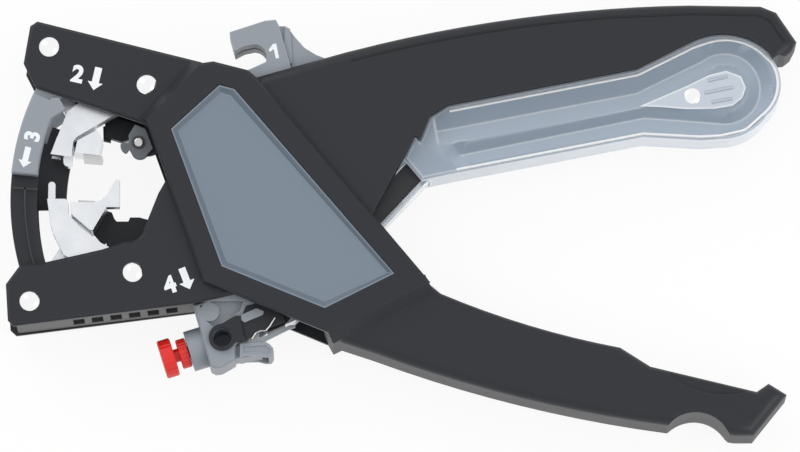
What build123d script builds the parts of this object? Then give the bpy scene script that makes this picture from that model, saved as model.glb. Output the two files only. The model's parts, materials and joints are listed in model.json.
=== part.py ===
# Stripping and crimping pliers for wires and ferrules, lying on their flat back.
# Millimetres. X runs along the handles, Y across the jaws, Z up from the resting face.
# The origin is where the axis of the main pivot meets the resting face.
# Lever A: upper jaw, raised cover and lower handle. Lever B: lower jaw and upper handle.
# Heights in this file are counted from the middle plane, and most pieces are mirrored about it.
import os
from math import atan2, cos, degrees, radians, sin

from build123d import *

# heights from the middle plane, built up outwards from the crossing arms of the jaws
layer_top = 5.2
layer_gap = 0.15
lip_low = layer_top + 0.3
lip_thick = 1.2
lip_high = lip_low + lip_thick
shoe_gap = 0.2
shoe_low = lip_high + shoe_gap
shoe_thick = 1.6
jaw_in = shoe_low + shoe_thick
jaw_wall = 2.0
jaw_half = jaw_in + jaw_wall
swing_gap = 0.5
cover_in = jaw_half + swing_gap
cover_wall = 2.5
half = cover_in + cover_wall
handle_wall = 2.4
handle_round = 3.0
edge_break = 0.7

# pivots, and the fits on them
inner_a = (-32.2, 30.4)
outer_a = (-58.3, 40.6)
inner_b = (-35.7, -20.2)
outer_b = (-63.1, -28)
running_fit = 0.05
loose_fit = 0.3
pin_radius = 4.0
pin_bed = 0.6
pin_half = cover_in + pin_bed
hub_radius = 16.0
thrust_gap = 0.1
rivet_head = 2.65
rivet_rise = 1.3
rivet_radius = 2.0
eye_radius = 3.4

# twisting track, all rings about the main pivot, inside the outer rivets
track_out = Vector(*outer_a).length - rivet_radius - 0.5
track_width = 7.1
track_in = track_out - track_width
web_in = track_in + 3.0
web_out = track_out - 0.7
pad_out = track_out - 2.5
shoe_top = jaw_half - 0.6
rear_web_in = 54.0
rear_web_high = 20.5
track_low = -25.0
track_high = 16.0

# cutter
blade_thick = 1.2
slot_side = 0.3
slot_in = 29.7
slot_out = 43.4
hook_half = 7.0
wing_half = 5.4

# magazine and chute
magazine_half = jaw_half - 2.5
clear_wall = 1.3
groove_deep = 1.3
groove_half = 4.0
chute_half = 4.2
strip_half = 2.6
magazine_pin_radius = 1.6

# crimping station, square to the knob
hole_at = (-11.9, -37.3)
hole_radius = 2.5
knob_tilt = 17.5
station_half = 7.0
ram_width = 3.6
ram_half = 2.2
ram_back = 3.6
knob_flange = 5.2
knob_collar = 4.1
knob_neck = 1.7
knob_shaft = 1.5

# length stop
stop_at = (-34.3, 15.1)
stop_low = layer_top + 1.7
stop_high = stop_low + 1.5
screw_radius = 0.9
screw_head = 1.3


def outline(start, *steps):
    # a point goes on as a line, a pair of points as an arc through the first to the second
    edges = []
    here = start
    for step in steps:
        if isinstance(step[0], tuple):
            edges.append(ThreePointArc(here, *step))
            here = step[1]
        else:
            edges.append(Line(here, step))
            here = step
    if here != start:
        edges.append(Line(here, start))
    return make_face(edges)


def slab(face, low, high):
    return Pos(0, 0, half + low) * extrude(face, high - low)


def drum(at, radius, low, high):
    return slab(Pos(*at) * Circle(radius), low, high)


def rear(part):
    return mirror(part, Plane.XY.offset(half))


def ring_point(radius, angle):
    # angles of the track are counted upwards from the line that points away from the handles
    return (-radius * cos(radians(angle)), radius * sin(radians(angle)))


def ring(inner, outer, low, high):
    middle = (low + high) / 2
    return outline(
        ring_point(inner, low),
        ring_point(outer, low),
        (ring_point(outer, middle), ring_point(outer, high)),
        ring_point(inner, high),
        (ring_point(inner, middle), ring_point(inner, low)),
    )


def soften(part, size):
    return chamfer(part.faces().sort_by(Axis.Z)[-1].outer_wire().edges(), size)


def rounded(part, size):
    return fillet(part.faces().sort_by(Axis.Z)[-1].outer_wire().edges(), size)


def bank(start, end, low, back, run):
    # a slope from the top of the cover down to the level of the jaws, on the left of start to end
    along = Vector(*end) - Vector(*start)
    plane = Plane((*start, half), x_dir=Vector(-along.Y, along.X), z_dir=along)
    profile = Polyline(
        (-back, low), (run, low), (run, jaw_half), (0, half), (-back, half), close=True)
    return extrude(plane * make_face(profile), along.length)


def with_rear(part):
    return part + rear(part)


# Lever A, front half: jaw plate, raised cover and lower handle in one moulding
jaw_a = outline(
    (-61.5, 47.6), (-17.8, 36.6), (-13.6, 34.2), (-30.3, 17.8), (-33.4, 20.1), (-61.8, 29.7), (-65.1, 36.2), (-63.4, 46.3))
cover_edge = outline(
    (-32.2, 20.2), (-17.8, 35.8), (-14.4, 36.3), (-5.1, 33.9), (-2.7, 31.8), (43.4, -23.2), (16, -36.6), (-16.8, -22.9))
handle_a = outline(
    (42.1, -22.1), (46.3, -25.6), ((70, -34.2), (94, -40.1)), (102, -45.2), (130.2, -52), (133.4, -49.8),
    (138.2, -52.8), (129.4, -63.8), (124.6, -63.8), (106.7, -61.1),
    ((67.3, -53.6), (28.7, -41.7)), (17.8, -38.1), (20.8, -33.6))
finger_scallop = outline((106.7, -61.1), ((115.3, -57.9), (122.2, -62.5)), (124.6, -65.4), (105.7, -65.4))
handle_a_hollow = offset(handle_a - finger_scallop, -handle_wall)
thumb_scoop = outline((106.7, -43.9), (107, -47.9), ((119.5, -53), (128, -52)), (128, -49.3))
scoop_deep = 1.2

jaw_a_plate = soften(slab(jaw_a, jaw_in, jaw_half), edge_break)
jaw_a_rim = slab(
    outline((-63.4, 46.3), (-61.5, 47.6), (-17.8, 36.6), (-14.4, 35), (-15.2, 33.8), (-61, 45.8), (-62.8, 44.6)), 0, jaw_in)
cover_plate = soften(slab(cover_edge, cover_in, half), edge_break)
handle_a_shell = rounded(slab(handle_a, 0, jaw_half), handle_round)
handle_a_shell -= slab(finger_scallop, 0, jaw_half)
handle_a_shell -= slab(thumb_scoop, jaw_half - scoop_deep, jaw_half)
handle_a_shell -= slab(handle_a_hollow, 0, jaw_in)
blade_block = slab(
    outline((-15.7, 35), (-5.3, 33.1), (-4.3, 31.8), (-7.2, 27.5), (-13.6, 27.5), (-15.7, 30.4)), 0, cover_in)

shell_a = jaw_a_plate + jaw_a_rim + cover_plate + handle_a_shell + blade_block
shell_a += bank((-32.2, 20.2), (-18.1, 35.3), jaw_in, 2.5, 2.6)
shell_a += bank((43.1, -23.4), (16.2, -36.6), 0, 2.4, 3.2)
shell_a += drum((0, 0), 9.0, jaw_half + thrust_gap, cover_in)
shell_a -= drum((0, 0), pin_radius, 0, pin_half)

# the inlay sits in a shallow bed in the cover
inlay = outline(
    (-25.7, 18), (-12.8, 29.9), (-8.7, 28.8), (34, -21), (15.4, -30.4), (-12.1, -19.1))
inlay_thick = 1.2
inlay_sunk = 0.2
inlay_side = 0.15
inlay_rim = 1.3
inlay_dish = 0.5
inlay_slope = 1.9
inlay_top = half - inlay_sunk
front_inlay = slab(inlay, inlay_top - inlay_thick, inlay_top)
inlay_bed = offset(inlay, inlay_side)
front_bed = slab(inlay_bed, inlay_top - inlay_thick, half)
rear_bed = slab(inlay_bed, -half, inlay_thick - half)
rear_inlay = slab(inlay, -half, inlay_thick - half)
front_inlay -= loft([
    Pos(0, 0, half + inlay_top) * offset(inlay, -inlay_rim),
    Pos(0, 0, half + inlay_top - inlay_dish) * offset(inlay, -inlay_rim - inlay_slope),
])

for pivot in (inner_a, outer_a):
    shell_a -= drum(pivot, rivet_radius + loose_fit, 0, jaw_half)

# cutter blade of lever A, clamped between the two halves
blade_face = outline(
    (-11.4, 28.3), (-5.9, 29.9), (-0.3, 30.4), (4.3, 30.2), (5.6, 42.5), (0, 42.5), (-0.1, 34.7), (-4, 31.8),
    (-11.4, 30.7))
cutter_blade = slab(blade_face, -blade_thick / 2, blade_thick / 2)
shell_a -= slab(blade_face, 0, blade_thick / 2)

# ear that carries the length stop, hung from the cover beside the bank
stop_ear = slab(
    outline((-36.2, 16.4), (-33.5, 19.4), (-30.1, 20.7), (-27.2, 18.6), (-27.7, 15.3), ((-30.1, 12.1), (-33.8, 12.1)),
            ((-36.2, 13.2), (-36.2, 16.4))),
    lip_low, stop_low - 0.1)
stop_ear += slab(outline((-30.1, 19.7), (-27.2, 18.6), (-27.7, 15.3), (-29, 17.2)), lip_low, cover_in)
front_ear_shell = shell_a + stop_ear
front_ear_shell -= drum(stop_at, screw_radius, 0, stop_low)
# a web behind the jaws, in the rear half only
web_a = outline((-43.9, 25), (-43.6, 18.9), (-39.2, 17.5), (-37.3, 18.1), (-33.8, 21.8))
lever_a_rear = rear(shell_a) - rear_bed + slab(web_a, -jaw_in, -lip_low)

main_pin = drum((0, 0), pin_radius, -pin_half, pin_half)

# flat hairpin spring that opens the levers, looped round the pin inside the hub
spring_low = 1.2
spring_high = 4.2
spring_thick = 1.5
spring_radius = 7.5
spring_front = 70.0
spring_back = -110.0
spring_reach = 30.5
spring_hold = 12.5
spring_room = 0.3


def spoke(angle, start, end, width):
    return Rot(0, 0, 180 - angle) * Pos((start + end) / 2, 0) * Rectangle(end - start, width)


def spring_form(room):
    # the spring itself, or the room that it needs on every side
    wide = spring_thick + 2 * room
    low = spring_low - room
    high = spring_high + room
    form = slab(
        ring(spring_radius - wide / 2, spring_radius + wide / 2, spring_back, spring_front), low, high)
    form += slab(spoke(spring_front, spring_radius, spring_reach + room, wide), low, high)
    return form + slab(spoke(spring_back, spring_radius, spring_hold + room, wide), low, high)


return_spring = spring_form(0)
front_ear_shell -= spring_form(spring_room)
lever_a_front = front_ear_shell - front_bed

stop_face = outline(
    (-35.3, 20), (-33.3, 19.2), (-32.5, 18.8), (-30.4, 13.4), (-31.8, 12), ((-33.8, 10.5), (-36.2, 12.1)),
    (-36.8, 13.2), (-37.6, 12.1), ((-38.7, 12.8), (-39.1, 14.8)), (-36.9, 15.2), (-37.1, 17))
length_stop = slab(stop_face, stop_low, stop_high)
length_stop -= drum(stop_at, screw_radius + running_fit, 0, stop_high)
stop_screw = drum(stop_at, screw_radius, lip_low + 0.2, stop_high + 0.05)
stop_screw += soften(drum(stop_at, screw_head, stop_high + 0.05, stop_high + 0.9), 0.3)


def rivet(at, radius, head, rise, reach):
    # a plain pin with a flat head on each end, outside the faces that lie at reach
    return with_rear(drum(at, radius, 0, reach) + drum(at, head, reach, reach + rise))


upper_inner_rivet = rivet(inner_a, rivet_radius, rivet_head, rivet_rise, jaw_half)
upper_outer_rivet = rivet(outer_a, rivet_radius, rivet_head, rivet_rise, jaw_half)
lower_inner_rivet = rivet(inner_b, rivet_radius, rivet_head, rivet_rise, jaw_half)
lower_outer_rivet = rivet(outer_b, rivet_radius, rivet_head, rivet_rise, jaw_half)


def jaw(at, arm, tip, low, high):
    # an arm in its own half of the thickness, with a tip across the whole of it
    part = slab(arm, low, high) + drum(at, eye_radius, low, high)
    part += slab(tip, -layer_top, layer_top)
    return part - drum(at, rivet_radius + running_fit, low, high)


finger_half = 2.0
finger_side = 0.4
upper_clamp = jaw(
    inner_a,
    outline((-34.1, 32.8), (-49.8, 26.9), (-53.5, 24), (-57.5, 13.7), (-58, 12.5), (-52.4, 11.7), (-51.9, 15.9),
            (-51.1, 17), (-41.3, 22.9), (-30.6, 27.5)),
    outline((-56.2, 17.2), (-57.5, 13.7), (-58, 12.5), (-52.4, 11.7), (-51.9, 15.9), (-53.5, 18)),
    layer_gap, layer_top)
upper_clamp -= slab(
    outline((-59.4, 19.4), (-55.4, 19.4), (-55.4, 10), (-59.4, 10)), -finger_half - finger_side,
    finger_half + finger_side)
upper_clamp += slab(
    outline((-54.7, 13.7), (-54.6, 10.8), ((-53.4, 9.6), (-52.2, 11)), (-52, 13.7)), -finger_half, finger_half)

lower_clamp = jaw(
    inner_b,
    outline((-58.8, 0.4), (-54, 0.4), (-53.2, -0.3), (-53, -4), (-49.8, -7.3), (-44.2, -11.6), (-34.3, -16.7),
            (-37.5, -23.4), (-54.3, -14.8), (-57.2, -8.9)),
    outline((-58.8, 0.4), (-54, 0.4), (-53.4, -0.3), (-53.2, -4), (-54.8, -7), (-57.8, -7)),
    layer_gap, layer_top)
lower_clamp -= slab(
    outline((-56.5, 3.2), (-50.3, 3.2), (-50.3, -4.6), (-56.5, -4.6)), -finger_half - finger_side,
    finger_half + finger_side)
lower_clamp += slab(
    outline((-58.7, -1.1), (-58.6, 4.3), ((-57.6, 5.5), (-56.7, 4.3)), (-56.7, -1.1)), -finger_half, finger_half)

upper_blade_jaw = jaw(
    outer_a,
    outline((-60.7, 38.8), (-56.4, 29.3), (-54, 24), (-51.1, 16.7), (-51.8, 12.9), (-44.9, 12.1), (-44.1, 16.4),
            (-45.8, 19.5), (-51.6, 27.2), (-55.6, 42.5)),
    outline((-50.8, 16.2), (-45.5, 19), (-44.1, 16.4), (-44.9, 12.1), (-51.5, 12.9)),
    -layer_top, -layer_gap)
lower_blade_jaw = jaw(
    outer_b,
    outline((-52.7, -0.5), (-42.9, -0.5), (-42.9, -1.7), (-46.9, -8.3), (-50.3, -16.4), (-60.2, -29.6), (-65.5, -25.6),
            (-58.6, -17), (-55.1, -11.6), (-52.4, -4.3)),
    outline((-52.6, -0.5), (-45, -0.5), (-42.9, -1.7), (-46.6, -8.2), (-47.3, -8.1), (-52.3, -3.8)),
    -layer_top, -layer_gap)
# the horn that the wire is laid against is only a plate on the front
horn_low = 1.5
horn = outline((-45.5, -0.5), (-44.5, 0.1), (-42.9, 1.6), (-40.5, 5.7), (-39.4, 5.1), (-39.4, -1.9), (-42.9, -1.9), (-45, -2.4))
lower_blade_jaw += slab(horn, horn_low, layer_top)

blade_half = 4.6
upper_blade = slab(
    outline((-49.2, 12.6), (-44.9, 12.1), (-44.1, 12), (-44.3, 11), (-49.2, 11.4)), -blade_half, blade_half)
lower_blade = slab(
    outline((-50.6, -0.5), (-45.8, -0.5), (-46.1, -0.1), (-50.4, 0.1)), -blade_half, blade_half)

# twisting shoe of lever A and the track of lever B that runs behind it
shoe = slab(ring(track_in, track_out, 5.6, 31.0), shoe_low, jaw_in)
shoe += slab(outline((-57.8, 21.3), (-54, 24), (-55.6, 26.9), (-57.8, 26.9)), shoe_low, shoe_top)
shoe += soften(slab(ring(track_in, track_out, 5.6, 24.6), shoe_low, shoe_top), 0.4)
shoe -= slab(offset(jaw_a, loose_fit), jaw_in, half)
twist_shoe_front = shoe
twist_shoe_rear = rear(shoe)

lip = ring(track_in, track_out, track_low, track_high)
pad = ring(track_in, pad_out, track_low, -16.5)
track = slab(lip, lip_low, lip_high) + slab(pad, lip_high, jaw_in)
track -= drum(outer_b, eye_radius + loose_fit, 0, jaw_half)
twist_track = with_rear(track)
twist_track += slab(ring(web_in, web_out, -13.0, 3.0), -lip_low, lip_low)
twist_track += slab(ring(rear_web_in, track_in + 0.3, -1.0, rear_web_high), -lip_high, -lip_low)

# Lever B, front half: lower jaw, hub and upper handle in one moulding
jaw_b = outline(
    (-59.1, -17.5), (-65.8, -18.3), (-69.5, -23.4), (-68.9, -33.1), (-67.3, -34.6), (-19.7, -28.5), (-4.5, -25), (11.4, -14.3),
    (22.6, -10.5), (16.8, 20.7), (-1.3, 26.1), (-7.2, 20.2), (-13.8, 8.6), (-27.2, 4.3), (-29, 1.1), (-32.7, -8.3),
    ((-34.3, -11), (-37.3, -11.8)), (-43.9, -14))
handle_b = outline(
    (-4.5, 24), (-3, 32.8), (21.3, 39.7), ((55.1, 47), (91.8, 51.4)), ((102, 52), (112.6, 52.3)),
    (131.8, 52), (136, 50.3), (141.4, 42.3), (140, 39.6), (137.9, 38), (125.9, 18), (50, -0.8), (25.3, -11.6),
    (8.8, -14.3))
# the lower side of the upper handle is cut back for the magazine
recess = outline(
    (25.3, -9.4), (39.4, 16.7), (40.7, 15.6), (43.4, 22.1), (48.2, 25.1), (98.7, 35), (113.5, 42.5),
    ((123.7, 44.3), (133.9, 39.7)), (135.1, 37.6), (136.6, 38.5), (141.9, 38), (149.9, 31.5), (149.9, -22.3), (16.8, -25))
handle_b_hollow = outline(
    (0.3, 25.3), (22.1, 36.6), ((55.6, 44), (91.8, 48.1)), (106.2, 48.6), (97.7, 39.3), (88.1, 35.4),
    (45.5, 27.5), (41, 23.7), (38.9, 19.7), (38.1, 19.1), (23.2, -6.7), (8.8, -11))

chute_end = (-0.5, -34.5)
chute_top = (48.4, 17.8)
chute_width = 8.8
chute_run = Vector(*chute_top) - Vector(*chute_end)
chute_turn = degrees(atan2(chute_run.Y, chute_run.X))


def along_chute(start, end, width, shift, low, high):
    # a straight piece of the chute, measured from its lower end
    middle = Pos(*chute_end, half + low) * Rot(0, 0, chute_turn) * Pos((start + end) / 2, shift, 0)
    return middle * extrude(Rectangle(end - start, width), high - low)


jaw_b_plate = soften(slab(jaw_b, jaw_in, jaw_half), edge_break)
handle_b_shell = rounded(slab(handle_b, 0, jaw_half), handle_round)
handle_b_shell -= slab(recess, 0, jaw_half)
handle_b_shell -= slab(handle_b_hollow, 0, jaw_in)
shell_b = jaw_b_plate + handle_b_shell + drum((0, 0), hub_radius, 0, jaw_half)
shell_b -= drum((0, 0), pin_radius + running_fit, 0, jaw_half)
chute_side = 0.3
shell_b -= along_chute(
    -2, chute_run.length + 3, chute_width + 2 * chute_side, 0, -chute_half - 0.2, chute_half + 0.2)
shell_b -= slab(
    ring(slot_in, slot_out, 55, 100.5), 0, blade_thick / 2 + slot_side)
for pivot in (inner_b, outer_b):
    shell_b -= drum(pivot, rivet_radius + loose_fit, 0, jaw_half)
closing = 20.0
leg_side = 9.0
spring_out = spring_radius + spring_thick / 2 + spring_room
spring_pocket = drum((0, 0), spring_out, spring_low - spring_room, spring_high + spring_room)
spring_pocket -= drum((0, 0), spring_out - spring_thick - 2 * spring_room, 0, jaw_half)
spring_sweep = ring(
    spring_radius, hub_radius + 1, spring_front - closing - leg_side, spring_front + leg_side)
lever_b_front = shell_b - spring_pocket - spring_form(spring_room)
lever_b_front -= slab(spring_sweep, spring_low - spring_room, spring_high + spring_room)
# a web behind the jaws, in the rear half only
web_b = outline(
    (-42.9, -1.9), (-41.7, -1.9), (-41.1, -3.4), (-40.5, -4.1), (-37.4, -4.1), (-36.9, -3),
    (-34.4, -3), (-32.2, -3.6), (-29.8, -5.1), (-31.1, -12.9), (-43.4, -16.4))
lever_b_rear = rear(shell_b) + slab(web_b, -jaw_in, -lip_low)

lower_jaw_frame = slab(
    outline((-66.8, -34.1), (-18.9, -28.2), (-18.9, -24), (-31.1, -25.3), (-54.6, -28.8), (-57.8, -32), (-66.3, -32.8)),
    -jaw_in, jaw_in)
for step in range(6):
    lower_jaw_frame -= Pos(*(-50.3, -32), half) * Rot(0, 0, 7) * Pos(5.0 * step, 0, 0) * Box(3.0, 2.4, 9.0)

# hook of the cutter, seated on the back of the upper handle
hook_face = outline(
    (-3, 32.8), (-5.3, 34.9), (-0.5, 37.1), ((-0.9, 40.6), (-3.8, 42)), (-6.4, 41.4),
    (-8.8, 40.1), (-10.2, 45.2), (-0.7, 48.3), (2.2, 48.6), (2.9, 47.2), (6.3, 35.5))
wing_face = outline(
    (1.3, 46.6), (3.2, 47.1), (4.8, 47.1), (5.6, 46.4), (7.5, 43.9), (9.9, 41.2), (13, 39.3),
    (15.8, 38.2), (4.8, 35))
cutter_hook = with_rear(slab(hook_face, 0, hook_half) + slab(wing_face, 0, wing_half))
cutter_hook -= slab(
    ring(slot_in, slot_out, 55, 100.5), -blade_thick / 2 - slot_side, blade_thick / 2 + slot_side)

# clear magazine below the upper handle, in two halves
magazine = outline(
    (39.4, 16.7), (40.7, 15.6), (43.4, 22.1), (48.2, 25.1), (98.7, 35), (113.5, 42.5),
    ((123.7, 44.3), (133.9, 39.7)), (135.1, 37.6), ((137.2, 31), (133.4, 22.6)), ((128, 17.8), (121.1, 16.2)),
    (115.8, 15.8), (100.2, 16.7), (50, 6.9), (41.3, 5.1), (36.5, 10.8))
island = outline((102.5, 25.4), (119, 34.2), ((127.5, 31.8), (125.9, 25.6)), (122.7, 24.2), (108.9, 24.3))
magazine_half_body = soften(slab(magazine, 0, magazine_half), 0.6)
magazine_half_body -= slab(
    offset(magazine, -clear_wall) - island, 0, magazine_half - clear_wall - groove_deep)

# the strip of ferrules runs round the island under a groove of V section
groove_from = (45, 18.2)
groove_bend = (98.5, 28.5)
groove_back = (100.6, 21.9)
groove_end = (51.9, 11.9)
groove_run = Wire([
    Line(groove_from, groove_bend),
    Line(groove_bend, (116.3, 37.3)),
    ThreePointArc((116.3, 37.3), (131.6, 29.9), (120.6, 20.4)),
    Line((120.6, 20.4), groove_back),
    Line(groove_back, groove_end),
])
over = 0.3
groove_wide = groove_half * (1 + over / groove_deep)
groove_line = Vector(*groove_bend) - Vector(*groove_from)
groove_plane = Plane(
    (*groove_from, half + magazine_half), x_dir=Vector(-groove_line.Y, groove_line.X), z_dir=groove_line)
groove_profile = groove_plane * make_face(Polyline(
    (-groove_wide, over), (0, -groove_deep), (groove_wide, over), close=True))
magazine_half_body -= sweep(
    groove_profile, Pos(0, 0, half + magazine_half) * groove_run, transition=Transition.TRANSFORMED)
magazine_half_body -= Pos(*groove_end, half + magazine_half + (over - groove_deep) / 2) * Cone(
    0, groove_wide, groove_deep + over)
magazine_pin_at = (113.5, 27.7)
magazine_half_body -= drum(magazine_pin_at, magazine_pin_radius + loose_fit, 0, magazine_half)
magazine_half_body -= along_chute(
    -2, chute_run.length + 1, chute_width + 2 * chute_side, 0, -chute_half - 0.2, chute_half + 0.2)
magazine_front = magazine_half_body
magazine_rear = rear(magazine_half_body)
magazine_pin = rivet(
    magazine_pin_at, magazine_pin_radius, magazine_pin_radius + 0.7, 0.9, magazine_half)

wall_shift = (chute_width - clear_wall) / 2
chute_walls = along_chute(0, chute_run.length, clear_wall, wall_shift, -chute_half, chute_half)
chute_walls += along_chute(0, chute_run.length, clear_wall, -wall_shift, -chute_half, chute_half)
chute_walls += along_chute(0, chute_run.length, chute_width, 0, -chute_half, -strip_half)
chute_strip = along_chute(
    0, chute_run.length, chute_width - 2 * clear_wall, 0, -strip_half, chute_half - 0.8)
# the lower end is cut off at a slant, in line with the arm of the crimping lever
slant = slab(outline((-7.2, -38.6), (8.8, -31.7), (8.8, -41.2), (-7.2, -41.2)), -chute_half, chute_half)
chute_walls -= slant
chute_strip -= slant

# crimping station of lever B
station = outline(
    (-19.6, -28.5), (-14.1, -26.7), (-1.3, -26.7), (2.1, -32.6), (-1.3, -35.3), (-5.1, -36.9), (-7.2, -38.2),
    (-8.4, -39.3), (-8.4, -43.2), (-9.8, -44.1), (-12.1, -45.4), (-13.8, -45.6), (-15, -44.9))
crimp_frame = with_rear(soften(slab(station, 0, station_half), 0.5))
frame_recess = outline((-18, -28.7), (-14.1, -27.5), (-6.4, -27.5), (-7.2, -30.2), (-14.1, -34.5), (-16.5, -32.6))
recess_deep = 1.2
crimp_frame -= slab(frame_recess, station_half - recess_deep, station_half)
crimp_frame += slab(outline((-17, -27.7), (-17, -23.4), (-5.6, -22.1), (-4.8, -27.7)), -jaw_in, jaw_in)
to_hole = Pos(*hole_at, half) * Rot(0, 0, knob_tilt)


def on_axis(start, end, radius):
    # a turned piece on the axis of the knob, measured from the crimping hole towards the knob
    return to_hole * Rot(0, -90, 0) * Pos(0, 0, start) * extrude(Circle(radius), end - start)


shaft_end = 6.2
collar_start = 4.0
collar_end = 9.4
collar_radius = 5.5
neck_start = 11.7
neck_end = 14.1
knob_end = 17.0
hole_floor = 2.0
ram_room = Box(
    hole_radius + 1.8, ram_width, 2 * ram_half, align=(Align.MIN, Align.CENTER, Align.CENTER))
crimp_frame += on_axis(collar_start, collar_end, collar_radius)
crimp_frame -= drum(hole_at, hole_radius, hole_floor - station_half, station_half)
ram_slot = Box(
    shaft_end, ram_width + 2 * running_fit, 2 * (ram_half + running_fit),
    align=(Align.MAX, Align.CENTER, Align.CENTER))
crimp_frame -= to_hole * ram_slot
crimp_frame -= on_axis(shaft_end - 0.1, collar_end, knob_shaft + running_fit)
crimp_frame -= to_hole * ram_room
crimp_frame -= along_chute(
    -2, chute_run.length + 1, chute_width + 2 * chute_side, 0, -chute_half - 0.2, chute_half + 0.2)

# the crimping lever is a fork over a tongue of the frame, on a blind pin from the rear
lever_pin_at = (-1.3, -40.4)
lever_pin_radius = 0.9
tongue_half = 5.1
fork_in = tongue_half + 0.2
tongue = outline((-8.8, -39.3), (-1.3, -39.2), ((-0.1, -40.4), (-1.3, -41.6)), (-8.8, -42.8))
crimp_frame += slab(tongue, -tongue_half, tongue_half)
crimp_frame -= drum(lever_pin_at, lever_pin_radius + loose_fit, -station_half, station_half)
lever_face = outline(
    (-7.2, -39), (-7.2, -42.5), (-5.6, -42.1), (-2.4, -42), (-0.5, -42.5), (1.1, -42.4), (1.7, -41.5),
    (1.7, -40.2), (-0.1, -38.5))
lever_bridge = outline((0.4, -38.7), (1.7, -40.2), (1.7, -41.5), (1.1, -42.4), (0.4, -42.5))
lever_arm = outline(
    (-6.9, -39.2), (-1, -37), (6.1, -33.9), (7.5, -33.8), (7.5, -34.5), (6.1, -34.9), (-0.3, -38.1),
    (-1.3, -39.8), (-6.9, -39.8))
arm_top = fork_in + 1.2
pin_end = station_half - 1.0
crimp_lever = slab(lever_face, fork_in, station_half) + slab(lever_face, -station_half, -fork_in)
crimp_lever += slab(lever_bridge, -station_half, station_half)
crimp_lever += slab(lever_arm, fork_in, arm_top)
crimp_lever -= slab(offset(lever_face, -0.8), station_half - 0.4, station_half)
crimp_lever -= drum(lever_pin_at, lever_pin_radius + running_fit, -station_half, pin_end + 0.1)
crimp_lever_pin = drum(lever_pin_at, lever_pin_radius, -station_half, pin_end)
crimp_lever_pin += drum(lever_pin_at, lever_pin_radius + 0.6, -station_half - 0.4, -station_half)

boss = drum((-15.3, -30.4), 2.5, station_half - recess_deep, station_half)
ridge = slab(Pos(*(-4.3, -31.4)) * Rot(0, 0, 24) * SlotOverall(5.6, 2.2), station_half, station_half + 0.8)
crimp_frame += boss + ridge
crimp_ram = to_hole * Pos(-ram_back, 0, 0) * Box(
    2.0, ram_width, 2 * ram_half, align=(Align.MAX, Align.CENTER, Align.CENTER))
crimp_anvil = to_hole * Pos(hole_radius + 0.2, 0, 0) * Box(
    1.6, ram_width, 2 * ram_half, align=(Align.MIN, Align.CENTER, Align.CENTER))
adjuster_knob = on_axis(shaft_end, knob_end, knob_shaft)
adjuster_knob += on_axis(collar_end + 0.5, neck_start, knob_collar)
adjuster_knob += on_axis(neck_start, neck_end, knob_neck)
adjuster_knob += on_axis(neck_end, knob_end, knob_flange)
funnel_top = station_half + 1.2
crimp_funnel = slab(
    outline((-14.3, -35), (-8.5, -31.6), (-7, -31.6), (-6.1, -36.8), (-5, -38.4), (-8.1, -38.6),
            (-9.6, -39.8)),
    station_half, funnel_top)
crimp_funnel += drum(hole_at, hole_radius + 1.1, station_half, funnel_top)
crimp_funnel -= drum(hole_at, hole_radius, station_half, funnel_top)

nodes = {
    "lever_a_front_shell": lever_a_front,
    "lever_a_rear_shell": lever_a_rear,
    "front_inlay": front_inlay,
    "rear_inlay": rear_inlay,
    "cutter_blade": cutter_blade,
    "main_pivot_pin": main_pin,
    "return_spring": return_spring,
    "length_stop": length_stop,
    "length_stop_screw": stop_screw,
    "upper_inner_rivet": upper_inner_rivet,
    "upper_outer_rivet": upper_outer_rivet,
    "lower_inner_rivet": lower_inner_rivet,
    "lower_outer_rivet": lower_outer_rivet,
    "upper_clamp_jaw": upper_clamp,
    "lower_clamp_jaw": lower_clamp,
    "upper_blade_jaw": upper_blade_jaw,
    "lower_blade_jaw": lower_blade_jaw,
    "upper_blade": upper_blade,
    "lower_blade": lower_blade,
    "twist_shoe_front": twist_shoe_front,
    "twist_shoe_rear": twist_shoe_rear,
    "twist_track": twist_track,
    "lever_b_front_shell": lever_b_front,
    "lever_b_rear_shell": lever_b_rear,
    "lower_jaw_frame": lower_jaw_frame,
    "cutter_hook": cutter_hook,
    "magazine_front": magazine_front,
    "magazine_rear": magazine_rear,
    "magazine_pin": magazine_pin,
    "chute_walls": chute_walls,
    "chute_strip": chute_strip,
    "crimp_frame": crimp_frame,
    "crimp_lever": crimp_lever,
    "crimp_lever_pin": crimp_lever_pin,
    "crimp_ram": crimp_ram,
    "crimp_anvil": crimp_anvil,
    "adjuster_knob": adjuster_knob,
    "crimp_funnel": crimp_funnel,
}

os.makedirs("parts", exist_ok=True)
for name, body in nodes.items():
    body.label = name
    export_step(body, "parts/" + name + ".step")
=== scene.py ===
import json
import math

import bmesh
import bpy
from mathutils import Matrix, Vector

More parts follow.
